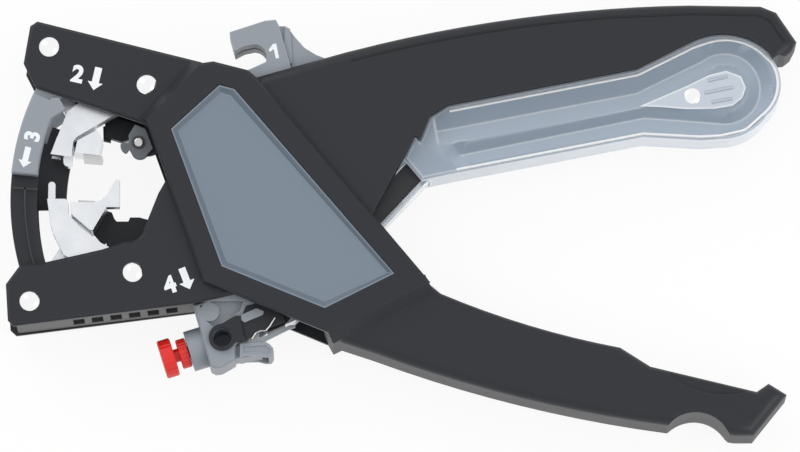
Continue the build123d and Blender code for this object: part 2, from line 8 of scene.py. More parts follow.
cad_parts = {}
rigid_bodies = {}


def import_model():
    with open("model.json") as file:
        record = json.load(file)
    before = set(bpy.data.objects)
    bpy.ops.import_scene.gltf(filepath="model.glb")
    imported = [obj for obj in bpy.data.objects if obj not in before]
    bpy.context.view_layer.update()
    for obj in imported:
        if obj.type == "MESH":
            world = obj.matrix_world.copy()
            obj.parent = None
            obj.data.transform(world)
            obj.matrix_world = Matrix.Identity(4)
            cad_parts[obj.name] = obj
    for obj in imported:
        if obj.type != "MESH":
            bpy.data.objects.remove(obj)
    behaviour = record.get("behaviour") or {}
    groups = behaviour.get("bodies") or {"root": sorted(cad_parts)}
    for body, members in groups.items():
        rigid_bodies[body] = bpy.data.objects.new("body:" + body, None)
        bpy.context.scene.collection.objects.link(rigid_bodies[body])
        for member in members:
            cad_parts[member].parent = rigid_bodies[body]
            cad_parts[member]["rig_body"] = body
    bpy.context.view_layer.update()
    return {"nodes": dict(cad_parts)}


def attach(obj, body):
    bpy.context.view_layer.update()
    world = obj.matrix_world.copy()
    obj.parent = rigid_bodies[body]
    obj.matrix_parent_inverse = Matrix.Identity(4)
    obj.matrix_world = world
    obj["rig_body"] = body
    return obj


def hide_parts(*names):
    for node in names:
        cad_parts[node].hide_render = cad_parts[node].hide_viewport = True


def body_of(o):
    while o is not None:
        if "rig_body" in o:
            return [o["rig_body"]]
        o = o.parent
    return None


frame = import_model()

mm = 0.001
print("frame loaded")


# small helpers for meshes and nodes

# how near two corners count as one, in mm, and how flat a face is, in degrees
meshing = {"closed": 0.001, "merged": 0.002, "flat": 0.4}


def hexToLinear(code):
    levels = [int(code[i:i + 2], 16) / 255 for i in (1, 3, 5)]
    linear = [v / 12.92 if v <= 0.04045 else ((v + 0.055) / 1.055) ** 2.4 for v in levels]
    return (*linear, 1.0)


def addNode(tree, kind, settings=None, links=None):
    node = tree.nodes.new(kind)
    for key, value in (settings or {}).items():
        if isinstance(key, int) or key in node.inputs:
            node.inputs[key].default_value = value
        else:
            setattr(node, key, value)
    for key, source in (links or {}).items():
        tree.links.new(source, node.inputs[key])
    return node


def newMesh(name, bm):
    mesh = bpy.data.meshes.new(name)
    bm.to_mesh(mesh)
    bm.free()
    piece = bpy.data.objects.new(name, mesh)
    bpy.context.scene.collection.objects.link(piece)
    return piece


def bakeModifiers(piece):
    # the finished shape becomes a plain mesh
    graph = bpy.context.evaluated_depsgraph_get()
    mesh = bpy.data.meshes.new_from_object(piece.evaluated_get(graph))
    piece.modifiers.clear()
    piece.data = mesh


def smoothPiece(piece, angle):
    # soft shading, with edges sharper than the angle kept crisp
    for face in piece.data.polygons:
        face.use_smooth = True
    piece.data.set_sharp_from_angle(angle=math.radians(angle))


def closeMesh(bm):
    bmesh.ops.remove_doubles(bm, verts=bm.verts, dist=meshing["closed"] * mm)
    bmesh.ops.recalc_face_normals(bm, faces=bm.faces)


def nodeCopy(name):
    # a solid's mesh, its loose triangles merged and its flat faces joined
    bm = bmesh.new()
    bm.from_mesh(frame["nodes"][name].data)
    bmesh.ops.remove_doubles(bm, verts=bm.verts, dist=meshing["merged"] * mm)
    flat = math.radians(meshing["flat"])
    bmesh.ops.dissolve_limit(bm, angle_limit=flat, verts=bm.verts, edges=bm.edges)
    return bm


def bodyOf(name):
    return body_of(frame["nodes"][name])[0]


def boxOf(name):
    corners = [v.co / mm for v in frame["nodes"][name].data.vertices]
    return [(min(c[k] for c in corners), max(c[k] for c in corners)) for k in range(3)]


def placePiece(piece, finish, body):
    # the piece takes the finish and moves with the body
    piece.data.materials.clear()
    piece.data.materials.append(finish)
    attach(piece, body)


def prism(bm, corners, rise):
    # the outline's face, pulled up by the rise
    face = bm.faces.new([bm.verts.new(corner) for corner in corners])
    grown = bmesh.ops.extrude_face_region(bm, geom=[face])
    tops = [v for v in grown["geom"] if isinstance(v, bmesh.types.BMVert)]
    bmesh.ops.translate(bm, verts=tops, vec=(0, 0, rise))
    bmesh.ops.recalc_face_normals(bm, faces=bm.faces)


def flatPiece(name, corners, low, high, edge=0.0):
    # a plate with the given outline between two heights above the floor
    bm = bmesh.new()
    prism(bm, [(x * mm, y * mm, low * mm) for x, y in corners], (high - low) * mm)
    piece = newMesh(name, bm)
    if edge:
        rim = piece.modifiers.new("edge", "BEVEL")
        rim.width = edge * mm
        rim.segments = 3
        bakeModifiers(piece)
    return piece


# camera: almost straight down, leaning a little towards the lower handle

view = {
    "elevation": 81.2,
    "target": (35.4, -7.8, 24.0),
    "distance": 2600.0,
    "widthSeen": 213.0,
    "sensor": 36.0,
    "clipEnd": 10000.0,
}


def placeCamera():
    data = bpy.data.cameras.new("camera")
    data.sensor_width = view["sensor"]
    data.lens = view["sensor"] * view["distance"] / view["widthSeen"]
    data.clip_end = view["clipEnd"] * mm
    camera = bpy.data.objects.new("camera", data)
    tilt = math.radians(90 - view["elevation"])
    away = Vector((0, -math.sin(tilt), math.cos(tilt))) * view["distance"]
    camera.location = (Vector(view["target"]) + away) * mm
    camera.rotation_euler = (tilt, 0, 0)
    bpy.context.scene.collection.objects.link(camera)
    bpy.context.scene.camera = camera


placeCamera()
print("camera placed")


# finishes

def startMaterial(name):
    material = bpy.data.materials.new(name)
    material.use_nodes = True
    tree = material.node_tree
    tree.nodes.clear()
    return material, tree


def noise(tree, place, size, detail):
    # cloudy pattern, its size in mm
    return addNode(tree, "ShaderNodeTexNoise", {"Scale": 1 / (size * mm), "Detail": detail},
                   {"Vector": place}).outputs["Fac"]


def remap(tree, source, low, high, start, end):
    # low becomes start and high becomes end
    return addNode(tree, "ShaderNodeMapRange",
                   {"From Min": low, "From Max": high, "To Min": start, "To Max": end},
                   {"Value": source}).outputs["Result"]


def edgeTurn(tree, radius):
    # 1 on flat faces, and less the nearer the point is to an edge
    soft = addNode(tree, "ShaderNodeBevel", {"samples": 4, "Radius": radius * mm})
    face = addNode(tree, "ShaderNodeNewGeometry")
    return addNode(tree, "ShaderNodeVectorMath", {"operation": "DOT_PRODUCT"},
                   {0: soft.outputs["Normal"], 1: face.outputs["Normal"]}).outputs["Value"]


def grained(tree, height, depth, relief):
    # the pattern as fine relief, its height in mm
    return addNode(tree, "ShaderNodeBump", {"Strength": depth, "Distance": relief * mm},
                   {"Height": height}).outputs["Normal"]


def finishMaterial(tree, settings, links):
    shader = addNode(tree, "ShaderNodeBsdfPrincipled", settings, links)
    addNode(tree, "ShaderNodeOutputMaterial", None, {"Surface": shader.outputs["BSDF"]})


# injection moulded in an eroded tool: even colour, fine matt grain, edges a little paler: partly
# rubbed wear and partly a painted highlight.
# A real grain is too fine for the render, so it is drawn coarse enough to show.
moulded = {
    "cloud": 18.0,
    "relief": 0.06,
    "spread": 0.06,
    "edge": 0.5,
    # where the paler edge starts and ends, and how pale: rubbed wear and painted highlight
    "wearAndHighlightFrom": 0.99,
    "wearAndHighlightTo": 0.80,
    "wearAndHighlightMost": 0.8,
}


def mouldedPlastic(name, colour, edge, roughness, grain, depth, ior=1.5):
    material, tree = startMaterial(name)
    place = addNode(tree, "ShaderNodeTexCoord").outputs["Object"]
    fine = noise(tree, place, grain, 2.0)
    wide = noise(tree, place, moulded["cloud"], 3.0)
    # paler edges: partly rubbed wear, partly a painted highlight
    wearAndHighlight = remap(tree, edgeTurn(tree, moulded["edge"]), moulded["wearAndHighlightFrom"], moulded["wearAndHighlightTo"],
                   0.0, moulded["wearAndHighlightMost"])
    patchyWearAndHighlight = addNode(tree, "ShaderNodeMath", {"operation": "MULTIPLY"}, {0: wearAndHighlight, 1: wide})
    base = addNode(tree, "ShaderNodeMix",
                   {"data_type": "RGBA", 6: hexToLinear(colour), 7: hexToLinear(edge)},
                   {0: patchyWearAndHighlight.outputs["Value"]})
    spread = moulded["spread"]
    gloss = remap(tree, wide, 0.0, 1.0, roughness - spread, roughness + spread)
    finishMaterial(tree, {"IOR": ior},
                   {"Base Color": base.outputs[2], "Roughness": gloss,
                    "Normal": grained(tree, fine, depth, moulded["relief"])})
    return material


# polycarbonate with a lightly frosted skin: it blurs what is behind. Its edges and side walls are
# painted paler, a painted highlight, and slopes that face away from the upper handle take a painted
# shade. The small emission on the side walls is a painted glow, standing for light from above that
# the plastic lets out through them.
# The IOR is a first guess that was kept; real polycarbonate has 1.58. The frost is drawn coarse
# enough to show, where real frost would be too fine.
frosted = {
    "ior": 1.4,
    "edge": 0.8,
    # where the painted highlight along the edges starts and ends
    "edgeFrom": 0.998,
    "edgeTo": 0.96,
    # normal Y over which the painted shade of the slopes gives way to the lit colour
    "slopeFrom": -0.26,
    "slopeTo": 0.20,
    # where the painted highlight on the side walls starts and ends, and its strength
    "wallFrom": 0.80,
    "wallTo": 0.35,
    "wallMost": 0.75,
    # strength of the painted glow on the side walls
    "paintedGlow": 0.28,
    "grain": 0.5,
    "cloud": 12.0,
    "spread": 0.05,
    "depth": 0.12,
    "relief": 0.05,
}


def frostedClear(name, colour, shade, edge, roughness, through):
    material, tree = startMaterial(name)
    where = addNode(tree, "ShaderNodeTexCoord").outputs
    own = addNode(tree, "ShaderNodeSeparateXYZ", None, {"Vector": where["Normal"]})
    # painted highlight along the edges
    paintedEdgeLight = remap(tree, edgeTurn(tree, frosted["edge"]), frosted["edgeFrom"], frosted["edgeTo"],
                     0.0, 1.0)
    # painted shade: slopes that face away from the upper handle take the darker colour
    paintedSlopeLight = remap(tree, own.outputs["Y"], frosted["slopeFrom"], frosted["slopeTo"], 0.0, 1.0)
    body = addNode(tree, "ShaderNodeMix",
                   {"data_type": "RGBA", 6: hexToLinear(shade), 7: hexToLinear(colour)}, {0: paintedSlopeLight})
    # painted highlight on the side walls, which also sets the painted glow
    level = addNode(tree, "ShaderNodeMath", {"operation": "ABSOLUTE"}, {0: own.outputs["Z"]})
    paintedWallLight = remap(tree, level.outputs["Value"], frosted["wallFrom"], frosted["wallTo"],
                 0.0, frosted["wallMost"])
    bright = addNode(tree, "ShaderNodeMath", {"operation": "MAXIMUM"}, {0: paintedEdgeLight, 1: paintedWallLight})
    base = addNode(tree, "ShaderNodeMix", {"data_type": "RGBA", 7: hexToLinear(edge)},
                   {0: bright.outputs["Value"], 6: body.outputs[2]})
    frost = noise(tree, where["Object"], frosted["grain"], 3.0)
    cloud = noise(tree, where["Object"], frosted["cloud"], 2.0)
    spread = frosted["spread"]
    gloss = remap(tree, cloud, 0.0, 1.0, roughness - spread, roughness + spread)
    # painted glow on the side walls
    paintedGlow = addNode(tree, "ShaderNodeMath", {"operation": "MULTIPLY", 1: frosted["paintedGlow"]},
                      {0: paintedWallLight})
    finishMaterial(tree, {"IOR": frosted["ior"], "Transmission Weight": through,
                          "Emission Color": hexToLinear(edge)},
                   {"Base Color": base.outputs[2], "Roughness": gloss,
                    "Normal": grained(tree, frost, frosted["depth"], frosted["relief"]),
                    "Emission Strength": paintedGlow.outputs["Value"]})
    return material


# worked or plated metal: fine marks that change the gloss, and patches of a second tone. The marks
# are drawn coarse enough to show, where real ones would be too fine.
worked = {"patch": 5.0, "relief": 0.04, "smoothest": 0.75, "roughest": 1.3}


def metal(name, colour, roughness, grain, depth, stretch=(1, 1, 1), stain=None):
    material, tree = startMaterial(name)
    place = addNode(tree, "ShaderNodeTexCoord").outputs["Object"]
    drawn = addNode(tree, "ShaderNodeMapping", {"Scale": stretch}, {"Vector": place})
    marks = noise(tree, drawn.outputs["Vector"], grain, 4.0)
    patch = noise(tree, place, worked["patch"], 3.0)
    base = addNode(tree, "ShaderNodeMix",
                   {"data_type": "RGBA", 6: hexToLinear(colour), 7: hexToLinear(stain or colour)},
                   {0: patch})
    gloss = remap(tree, marks, 0.0, 1.0,
                  roughness * worked["smoothest"], roughness * worked["roughest"])
    finishMaterial(tree, {"Metallic": 1.0},
                   {"Base Color": base.outputs[2], "Roughness": gloss,
                    "Normal": grained(tree, marks, depth, worked["relief"])})
    return material


# name, colour, paler edge colour (rubbed wear and painted highlight), roughness, grain in mm, depth
# of the grain

# glass filled nylon: near black with a breath of blue, a dull sheen on flat faces
blackNylon = mouldedPlastic("blackGlassFilledNylon", "#14171e", "#3c3f46", 0.48, 0.55, 0.25,
                            ior=1.47)
# the same plastic in the lower jaw's frame, the chute's strip and the thin disc round the stop's
# screw: a shade greyer
darkNylon = mouldedPlastic("darkGreyNylon", "#26282b", "#55585d", 0.45, 0.5, 0.2)
# small stop moulding: mid grey, a little shinier than the shells
stopNylon = mouldedPlastic("greyNylonStop", "#565a5f", "#85898d", 0.42, 0.5, 0.2)
# ABS inlay: smooth blue grey field, and a darker copy on the step round it, a painted shade on its
# slope
greyInlay = mouldedPlastic("greyAbsInlay", "#717e8b", "#a3aab1", 0.42, 0.5, 0.15)
inlayStepPaintedShade = mouldedPlastic("greyAbsInlayStepPaintedShade", "#5f6b77", "#98a2ac", 0.45, 0.5, 0.15)
# light grey nylon of the shoe, the hook and the station: satin
greyNylon = mouldedPlastic("greyGlassFilledNylon", "#8b929a", "#b3b9bf", 0.42, 0.5, 0.2)
# acetal knob: bright red and waxy, with tight highlights
redAcetal = mouldedPlastic("redAcetal", "#e0231d", "#f25a4c", 0.28, 0.7, 0.06)
# pad printed ink: flat off-white
padInk = mouldedPlastic("whitePadInk", "#e9ecf0", "#f4f5f7", 0.5, 0.4, 0.05)
# ribs of the pad: opaque, so that they read as grey strokes on the clear face
padRib = mouldedPlastic("polycarbonateRib", "#b2bdca", "#c9d2dc", 0.35, 0.4, 0.1)
# mould lines of the track: a little lighter than the black beside them
mouldLine = mouldedPlastic("blackNylonMouldLine", "#2c2b2a", "#4a4846", 0.5, 0.5, 0.2)
# painted shadow line of the upper handle: darker than the shell, so that it reads as a fine shadow
# where the rounding of the back begins
paintedShadowNylon = mouldedPlastic("blackNylonPaintedShadow", "#07080a", "#0c0d10", 0.6, 0.5, 0.2)

# name, lit colour, painted shade of the slopes that face away, colour of the painted highlight and
# glow on edges and side walls, roughness, share of light that goes through

# shell of the magazine: milky blue grey, with a little of what is behind showing through
clearShell = frostedClear("frostedPolycarbonate", "#b0bdcb", "#93a1b0", "#e6ebf1", 0.32, 0.3)
# walls of the chute: thinner and clearer
clearRail = frostedClear("clearPolycarbonateRail", "#dbe4ec", "#b4bec8", "#f2f6fa", 0.15, 0.6)
# polished pad: paler than the shell. The rim is paler still: a painted highlight along it
clearPad = frostedClear("polishedPolycarbonatePad", "#d6dfe8", "#aab4c0", "#f4f7fa", 0.2, 0.1)
paintedHighlightRim = frostedClear("polycarbonateRimPaintedHighlight", "#e6ebf1", "#c9d2dc", "#f6f8fa", 0.3, 0.1)

# name, colour, roughness, marks in mm, depth of the marks

# cast jaws with a nickel plate: satin white metal with faint grey patches
platedJaw = metal("nickelPlatedCastSteel", "#f1f2f4", 0.30, 0.6, 0.18, stain="#d3d7dd")
# rivets, pins: polished nickel, near mirror
polished = metal("polishedNickelRivet", "#f5f5f6", 0.10, 0.8, 0.03)
# ground steel of the blades, the screw and the wires: grey, with grinding marks drawn out along X
groundSteel = metal("groundToolSteel", "#c2c2c2", 0.28, 0.4, 0.2, stretch=(1, 8, 1))
print("finishes ready")


# the solids that keep their shape: finish, and rounding of the edges in mm

finishes = {
    "lever_a_front_shell": (blackNylon, 0.35),
    "lever_a_rear_shell": (blackNylon, 0.35),
    "lever_b_front_shell": (blackNylon, 0.35),
    "lever_b_rear_shell": (blackNylon, 0.35),
    "rear_inlay": (greyInlay, 0.2),
    "cutter_blade": (groundSteel, 0.0),
    "main_pivot_pin": (polished, 0.0),
    "return_spring": (groundSteel, 0.0),
    "length_stop": (stopNylon, 0.2),
    "length_stop_screw": (groundSteel, 0.15),
    "upper_clamp_jaw": (platedJaw, 0.25),
    "lower_clamp_jaw": (platedJaw, 0.25),
    "upper_blade_jaw": (platedJaw, 0.25),
    "lower_blade_jaw": (platedJaw, 0.25),
    "upper_blade": (groundSteel, 0.0),
    "lower_blade": (groundSteel, 0.0),
    "twist_shoe_front": (greyNylon, 0.3),
    "twist_shoe_rear": (greyNylon, 0.3),
    "twist_track": (blackNylon, 0.2),
    "lower_jaw_frame": (darkNylon, 0.2),
    "cutter_hook": (greyNylon, 0.4),
    "magazine_front": (clearShell, 0.25),
    "magazine_rear": (clearShell, 0.25),
    "chute_walls": (clearRail, 0.15),
    "chute_strip": (darkNylon, 0.15),
    "crimp_frame": (greyNylon, 0.35),
    "crimp_lever": (greyNylon, 0.4),
    "crimp_lever_pin": (polished, 0.1),
    "crimp_ram": (groundSteel, 0.0),
    "crimp_anvil": (groundSteel, 0.0),
    "crimp_funnel": (blackNylon, 0.2),
}


# degrees: edges over "broken" get the rounding. Soft shading stops at "sharp" on the pieces that
# are rounded, and at "broken" on the others.
edgeAngles = {"broken": 32, "sharp": 50}


def dressNode(name, finish, edge):
    # a copy with rounded edges stands for the node, on the same body
    piece = newMesh(name + "_dressed", nodeCopy(name))
    smoothPiece(piece, edgeAngles["sharp" if edge else "broken"])
    if edge:
        rim = piece.modifiers.new("edge", "BEVEL")
        rim.width = edge * mm
        rim.segments = 2
        rim.limit_method = "ANGLE"
        rim.angle_limit = math.radians(edgeAngles["broken"])
    weigh = piece.modifiers.new("weigh", "WEIGHTED_NORMAL")
    weigh.keep_sharp = True
    bakeModifiers(piece)
    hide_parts(name)
    placePiece(piece, finish, bodyOf(name))


for name, (finish, edge) in finishes.items():
    dressNode(name, finish, edge)
print("solids dressed")


# rivets and the pin of the magazine, turned with dome heads in place of the plain ones

heads = {
    "rise": {"upper_inner_rivet": 1.3, "upper_outer_rivet": 1.3, "lower_inner_rivet": 1.3,
             "lower_outer_rivet": 1.3, "magazine_pin": 0.9},
    "edge": 0.16,
    "shank": 0.7,
    "rings": 9,
    "steps": 64,
    "sharp": 40,
}


def domeRivet(name, rise):
    # a head at each end on a thinner shank, inside the box of the plain rivet
    (left, right), (front, back), (low, high) = boxOf(name)
    radius = (right - left) / 2
    shank = radius * heads["shank"]
    arch = rise - heads["edge"]
    ball = (radius ** 2 + arch ** 2) / (2 * arch)
    dome = []
    for ring in range(heads["rings"] + 1):
        angle = math.asin(radius / ball) * ring / heads["rings"]
        dome.append((ball * math.sin(angle), arch - ball * (1 - math.cos(angle))))
    under = high - rise
    upper = [(r, under + heads["edge"] + h) for r, h in dome] + [(radius, under), (shank, under)]
    profile = upper + [(r, low + high - z) for r, z in reversed(upper)]
    bm = bmesh.new()
    chain = [bm.verts.new((r * mm, 0, z * mm)) for r, z in profile]
    edges = [bm.edges.new(pair) for pair in zip(chain, chain[1:])]
    bmesh.ops.spin(bm, geom=chain + edges, axis=(0, 0, 1), cent=(0, 0, 0), angle=math.tau,
                   steps=heads["steps"])
    closeMesh(bm)
    axis = ((left + right) / 2 * mm, (front + back) / 2 * mm, 0)
    bmesh.ops.translate(bm, verts=bm.verts, vec=axis)
    piece = newMesh(name + "_domed", bm)
    smoothPiece(piece, heads["sharp"])
    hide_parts(name)
    placePiece(piece, polished, bodyOf(name))


for name, rise in heads["rise"].items():
    domeRivet(name, rise)
print("rivets turned")


# adjusting knob: two knurled flanges on a neck, turned about the axis of the station

knob = {
    "hole": (-11.9, -37.3),
    "tilt": 17.5,
    # distance from the hole along the axis, and radius
    "turned": [(6.2, 0.0), (6.2, 1.5), (9.6, 1.5), (9.6, 3.7), (9.85, 4.0), (11.95, 4.0),
               (12.2, 3.7), (12.2, 1.8), (13.5, 1.8), (13.5, 4.9), (13.8, 5.2), (16.7, 5.2),
               (17.0, 4.9), (17.0, 0.0)],
    "teeth": 24,
    "toothSides": 4,
    "toothDeep": 0.14,
    "teethFrom": 3.5,
    "sharp": 30,
}


def makeKnob():
    tilt = math.radians(knob["tilt"])
    middle = sum(boxOf("adjuster_knob")[2]) / 2
    hole = Vector((*knob["hole"], middle))
    along = Vector((-math.cos(tilt), -math.sin(tilt), 0))
    across = Vector((math.sin(tilt), -math.cos(tilt), 0))
    up = Vector((0, 0, 1))
    sides = knob["teeth"] * knob["toothSides"]
    bm = bmesh.new()
    rings = []
    for far, radius in knob["turned"]:
        ring = []
        for k in range(sides):
            inCut = radius > knob["teethFrom"] and k % knob["toothSides"] < knob["toothSides"] / 2
            reach = radius - (knob["toothDeep"] if inCut else 0.0)
            angle = math.tau * k / sides
            outward = across * math.cos(angle) + up * math.sin(angle)
            ring.append(bm.verts.new((hole + along * far + outward * reach) * mm))
        rings.append(ring)
    for near, after in zip(rings, rings[1:]):
        for k in range(sides):
            j = (k + 1) % sides
            bm.faces.new((near[k], near[j], after[j], after[k]))
    closeMesh(bm)
    piece = newMesh("adjuster_knob_turned", bm)
    smoothPiece(piece, knob["sharp"])
    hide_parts("adjuster_knob")
    placePiece(piece, redAcetal, bodyOf("adjuster_knob"))


makeKnob()
print("knob turned")


# the magazine's rim and ribs, the handle's painted shadow line, the track's mould lines and the
# station's wire are sections with four corners, swept along lines by geometry nodes

# a bar's section sinks into the face that it lies on, and its top is narrower than its foot
sweep = {"bendSteps": 8, "sunk": 0.1, "topShare": 0.7}


def sweptGroup():
    tree = bpy.data.node_groups.new("sweptSection", "GeometryNodeTree")
    sockets = [("Line", "NodeSocketGeometry")]
    sockets += [("Corner %d" % k, "NodeSocketVector") for k in (1, 2, 3, 4)]
    sockets += [("Bend", "NodeSocketFloat"), ("Finish", "NodeSocketMaterial")]
    for label, kind in sockets:
        tree.interface.new_socket(label, in_out="INPUT", socket_type=kind)
    tree.interface.new_socket("Piece", in_out="OUTPUT", socket_type="NodeSocketGeometry")
    given = addNode(tree, "NodeGroupInput").outputs
    line = addNode(tree, "GeometryNodeMeshToCurve", None, {"Mesh": given["Line"]})
    bent = addNode(tree, "GeometryNodeFilletCurve",
                   {"mode": "POLY", "Count": sweep["bendSteps"], "Limit Radius": True},
                   {"Curve": line.outputs["Curve"], "Radius": given["Bend"]})
    section = addNode(tree, "GeometryNodeCurvePrimitiveQuadrilateral", {"mode": "POINTS"},
                      {"Point %d" % k: given["Corner %d" % k] for k in (1, 2, 3, 4)})
    swept = addNode(tree, "GeometryNodeCurveToMesh", {"Fill Caps": True},
                    {"Curve": bent.outputs["Curve"], "Profile Curve": section.outputs["Curve"]})
    real = addNode(tree, "GeometryNodeRealizeInstances", None, {"Geometry": swept.outputs["Mesh"]})
    dressed = addNode(tree, "GeometryNodeSetMaterial", None,
                      {"Geometry": real.outputs["Geometry"], "Material": given["Finish"]})
    addNode(tree, "NodeGroupOutput", None, {"Piece": dressed.outputs["Geometry"]})
    return tree


sweptSection = sweptGroup()


def sweptPiece(name, points, corners, bend, finish):
    # points and corners in mm; a corner is how far across and how far up from the line
    bm = bmesh.new()
    chain = [bm.verts.new([c * mm for c in point]) for point in points]
    for pair in zip(chain, chain[1:]):
        bm.edges.new(pair)
    piece = newMesh(name, bm)
    build = piece.modifiers.new("build", "NODES")
    build.node_group = sweptSection
    wanted = {"Bend": bend * mm, "Finish": finish}
    for k, (across, up) in enumerate(corners):
        wanted["Corner %d" % (k + 1)] = (across * mm, up * mm, 0.0)
    for item in sweptSection.interface.items_tree:
        if item.in_out == "INPUT" and item.name in wanted:
            build[item.identifier] = wanted[item.name]
    bakeModifiers(piece)
    bm = bmesh.new()
    bm.from_mesh(piece.data)
    bmesh.ops.recalc_face_normals(bm, faces=bm.faces)
    bm.to_mesh(piece.data)
    bm.free()
    return piece


def barSection(wide, high):
    foot = wide / 2
    top = foot * sweep["topShare"]
    return [(-foot, -sweep["sunk"]), (-top, high), (top, high), (foot, -sweep["sunk"])]


def arcThrough(a, b, c, count):
    # points on the circle through three points, from a to c
    (ax, ay), (bx, by), (cx, cy) = a, b, c
    twice = 2 * (ax * (by - cy) + bx * (cy - ay) + cx * (ay - by))
    sa, sb, sc = ax * ax + ay * ay, bx * bx + by * by, cx * cx + cy * cy
    ox = (sa * (by - cy) + sb * (cy - ay) + sc * (ay - by)) / twice
    oy = (sa * (cx - bx) + sb * (ax - cx) + sc * (bx - ax)) / twice
    radius = math.hypot(ax - ox, ay - oy)
    start, middle, end = (math.atan2(y - oy, x - ox) for x, y in (a, b, c))
    turn = (end - start) % math.tau
    if (middle - start) % math.tau > turn:
        turn -= math.tau
    angles = [start + turn * k / count for k in range(count + 1)]
    return [(ox + radius * math.cos(angle), oy + radius * math.sin(angle)) for angle in angles]


# clear magazine: raised rim round the face, its pale colour a painted highlight, and the paler pad
# with its ribs

magazine = {
    "rim": [(48.6, 23.6), (98.9, 33.4), (113.7, 40.8)],
    "rimTop": [(117.5, 42.1), (124.0, 42.8), (133.0, 38.4)],
    "rimEnd": [(134.5, 36.9), (136.3, 30.6), (132.7, 23.1)],
    "rimBack": [(127.6, 18.5), (121.0, 17.0), (115.8, 16.7), (100.3, 17.5), (50.5, 7.8)],
    "rimWide": 0.7,
    "rimHigh": 0.12,
    "bend": 5.0,
    "arcSteps": 10,
    "pad": [(99.3, 24.9), (112.6, 30.7), (117.7, 33.3), (122.5, 34.5), (126.5, 33.0), (127.8, 30.0),
            (126.8, 27.1), (124.1, 25.0), (119.3, 24.2), (111.8, 24.1), (104.6, 24.7)],
    "padThick": 0.3,
    "padSunk": 0.1,
    "padEdge": 0.15,
    "ribs": [((117.6, 31.8), (122.9, 33.0)), ((116.7, 28.5), (124.4, 30.1)),
             ((118.6, 26.0), (124.1, 27.0))],
    "ribWide": 0.9,
    "ribHigh": 0.18,
}


def makeMagazine():
    top = boxOf("magazine_front")[2][1]
    run = list(magazine["rim"])
    for part in ("rimTop", "rimEnd"):
        run += arcThrough(*magazine[part], magazine["arcSteps"])
    run += magazine["rimBack"]
    section = barSection(magazine["rimWide"], magazine["rimHigh"])
    # the rim's pale colour is a painted highlight along the edge of the face
    rim = sweptPiece("magazine_rim", [(x, y, top) for x, y in run], section, magazine["bend"],
                     paintedHighlightRim)
    placePiece(rim, paintedHighlightRim, "lever_b")
    low, high = top - magazine["padSunk"], top + magazine["padThick"]
    pad = flatPiece("magazine_pad", magazine["pad"], low, high, magazine["padEdge"])
    placePiece(pad, clearPad, "lever_b")
    section = barSection(magazine["ribWide"], magazine["ribHigh"])
    for number, ends in enumerate(magazine["ribs"]):
        points = [(x, y, high) for x, y in ends]
        rib = sweptPiece("magazine_rib_%d" % number, points, section, 0.0, padRib)
        placePiece(rib, padRib, "lever_b")


makeMagazine()
print("magazine made")


# fine dark line where the rounding of the upper handle's back begins: a painted shadow, thin as a
# sheet

handleLine = {
    "arc": [(22.2, 36.9), (55.6, 44.2), (92.0, 48.6)],
    "end": [(112.6, 49.5), (130.9, 49.2), (134.0, 47.9), (138.0, 42.0)],
    "arcSteps": 16,
    "wide": 0.5,
    "high": 0.03,
    "face": 24.0,
    "bend": 4.0,
}


def makeHandleLine():
    run = arcThrough(*handleLine["arc"], handleLine["arcSteps"]) + handleLine["end"]
    section = barSection(handleLine["wide"], handleLine["high"])
    line = sweptPiece("handle_painted_shadow", [(x, y, handleLine["face"]) for x, y in run], section,
                      handleLine["bend"], paintedShadowNylon)
    placePiece(line, paintedShadowNylon, "lever_b")


makeHandleLine()
print("handle groove made")


# fine mould lines along and across the twisting track

trackLines = {
    "radius": 64.6,
    "from": 177.5,
    "to": 199.0,
    "steps": 20,
    "across": [(-67.9, 2.9), (-61.2, 2.4)],
    "wide": 0.5,
    "high": 0.08,
}


def makeTrackLines():
    top = boxOf("twist_track")[2][1]
    radius, steps = trackLines["radius"], trackLines["steps"]
    start, end = (math.radians(trackLines[k]) for k in ("from", "to"))
    angles = [start + (end - start) * k / steps for k in range(steps + 1)]
    run = [(radius * math.cos(angle), radius * math.sin(angle)) for angle in angles]
    section = barSection(trackLines["wide"], trackLines["high"])
    for name, line in (("track_line", run), ("track_step", trackLines["across"])):
        piece = sweptPiece(name, [(x, y, top) for x, y in line], section, 0.0, mouldLine)
        placePiece(piece, mouldLine, "lever_b")


makeTrackLines()
print("track lines made")


# crimping station: dark plate beside the hole, with the wire spring and a grey ridge on it; the
# ridge's pale grey is a painted highlight

station = {
    "face": 20.5,
    "plate": [(-6.9, -32.0), (-5.6, -28.8), (-1.3, -27.7), (4.3, -31.5), (4.8, -33.1),
              (-1.3, -35.5), (-4.8, -37.7), (-6.4, -38.2), (-7.7, -36.6), (-7.2, -33.1)],
    "plateThick": 0.25,
    "plateSunk": 0.2,
    "plateEdge": 0.08,
    "wire": [(-4.0, -37.7), (-2.9, -36.1), (-1.6, -35.5), (-0.3, -35.5), (0.8, -34.2), (1.6, -32.8),
             (2.1, -32.0)],
    "wireHalf": 0.28,
    "wireBend": 0.5,
    "ridge": [(-6.7, -31.6), (-1.6, -29.8), (-0.8, -30.3), (-1.1, -31.3), (-6.1, -33.4)],
    "ridgeHigh": 0.5,
    "ridgeSunk": 0.1,
    "ridgeEdge": 0.2,
}


